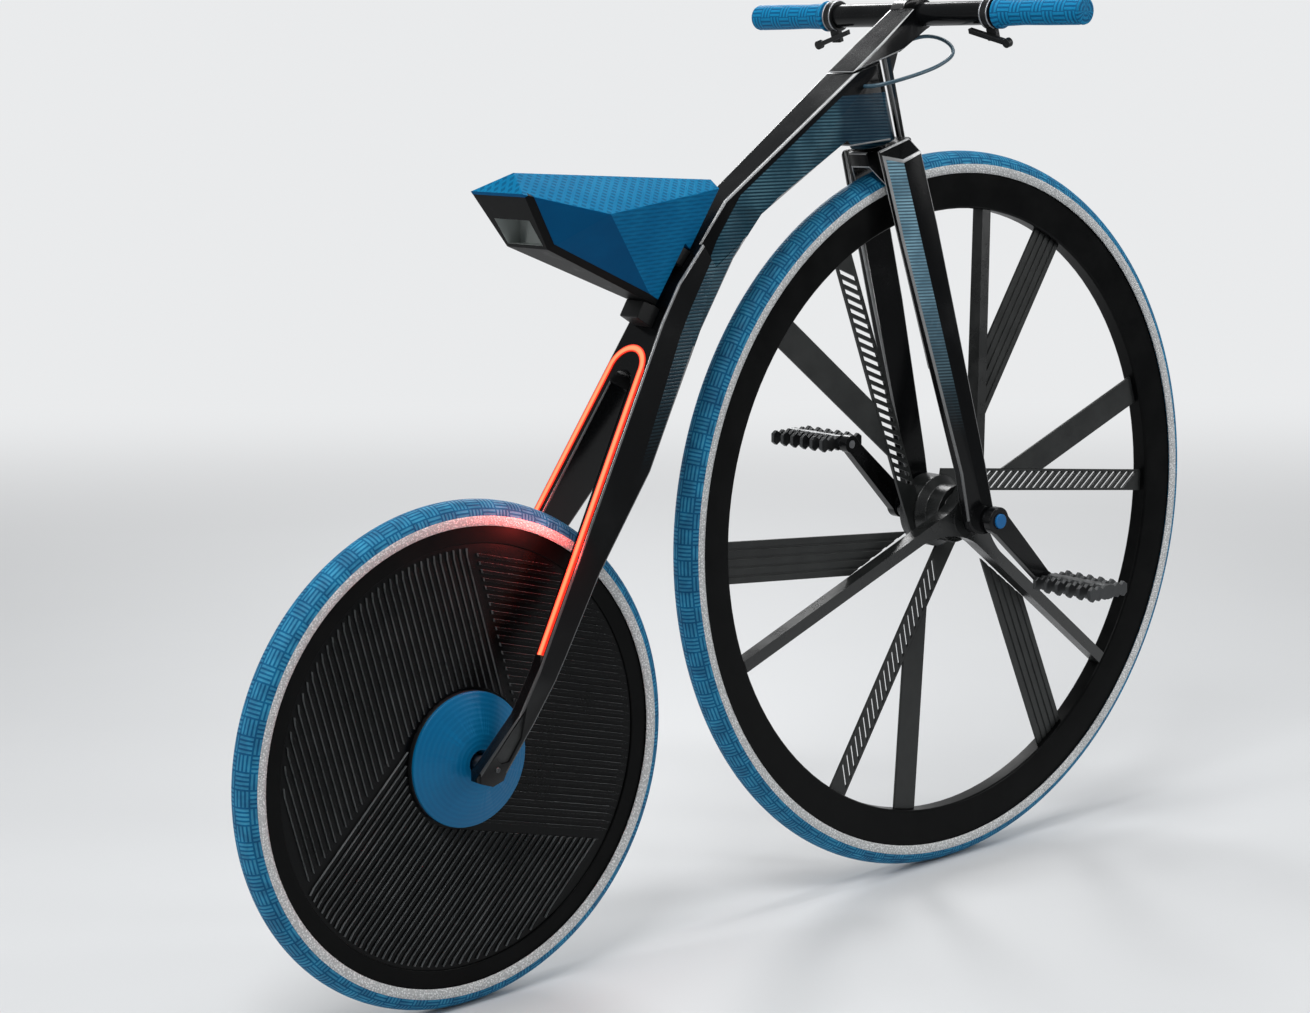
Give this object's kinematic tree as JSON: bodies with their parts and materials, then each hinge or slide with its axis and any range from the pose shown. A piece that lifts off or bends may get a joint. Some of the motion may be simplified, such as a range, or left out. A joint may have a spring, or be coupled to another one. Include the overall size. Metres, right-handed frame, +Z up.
{
  "type": "concept bicycle",
  "caption": "Velocipede-style electric bicycle: large pedal-driven front wheel, small rear motor disc wheel, black beam frame, faceted blue saddle and a red light loop on the stays.",
  "frame": {"origin": "the rider's seat point on top of the saddle", "axes": "+X forward, +Y to the rider's left, +Z up"},
  "size_m": [1.4863, 0.532, 1.0788],
  "materials": {
    "gloss_black": "glossy lacquer",
    "satin_black": "satin",
    "blue_cover": "matt foam skin",
    "blue_grip": "matt",
    "blue_plastic": "satin",
    "hose": "glossy",
    "blue_tyre": "matt with a white reflective stripe",
    "dark_composite": "satin",
    "steel": "brushed",
    "pedal_metal": "satin",
    "red_light": "lit"
  },
  "bodies": {
    "frame": {"frame": "gloss_black", "light_strip": "red_light", "saddle_cover": "blue_cover", "saddle_shell": "satin_black", "saddle_brackets": "satin_black", "rear_axle": "steel"},
    "steering": {"fork": "gloss_black", "steerer": "steel", "stem": "gloss_black", "handlebar": "gloss_black", "grip_left": "blue_grip", "grip_right": "blue_grip", "lever_clamp_left": "satin_black", "lever_clamp_right": "satin_black", "brake_lever_left": "satin_black", "brake_lever_right": "satin_black", "brake_hose": "hose"},
    "front_wheel": {"front_tyre": "blue_tyre", "front_rim": "dark_composite", "front_hub": "dark_composite", "main_spokes": "dark_composite", "lined_straps": "dark_composite", "smooth_straps": "dark_composite", "hatched_straps": "dark_composite", "front_axle": "steel", "crank_left": "gloss_black", "crank_right": "gloss_black", "axle_cap_left": "blue_plastic", "axle_cap_right": "blue_plastic", "pedal_spindle_left": "steel", "pedal_spindle_right": "steel"},
    "pedal_left": {"pedal_left": "pedal_metal"},
    "pedal_right": {"pedal_right": "pedal_metal"},
    "rear_wheel": {"rear_tyre": "blue_tyre", "rear_rim": "dark_composite", "rear_disc": "dark_composite", "motor_hub": "dark_composite", "hub_cover_left": "blue_plastic", "hub_cover_right": "blue_plastic"}
  },
  "joints": [
    {"name": "steering_turn", "type": "hinge", "parent": "frame", "child": "steering", "pos_m": [0.55939, 0, -0.43879], "axis": [-0.284, 0, 0.9588], "range_deg": [-40, 40], "deforming": ["brake_hose"]},
    {"name": "front_wheel_spin", "type": "hinge", "parent": "steering", "child": "front_wheel", "pos_m": [0.55939, 0, -0.43879], "axis": [0, 1, 0], "continuous": true},
    {"name": "pedal_left_spin", "type": "hinge", "parent": "front_wheel", "child": "pedal_left", "pos_m": [0.46785, 0.14, -0.35222], "axis": [0, 1, 0], "continuous": true},
    {"name": "pedal_right_spin", "type": "hinge", "parent": "front_wheel", "child": "pedal_right", "pos_m": [0.65094, -0.14, -0.52536], "axis": [0, 1, 0], "continuous": true},
    {"name": "rear_wheel_spin", "type": "hinge", "parent": "frame", "child": "rear_wheel", "pos_m": [-0.20166, 0, -0.60929], "axis": [0, 1, 0], "continuous": true}
  ]
}
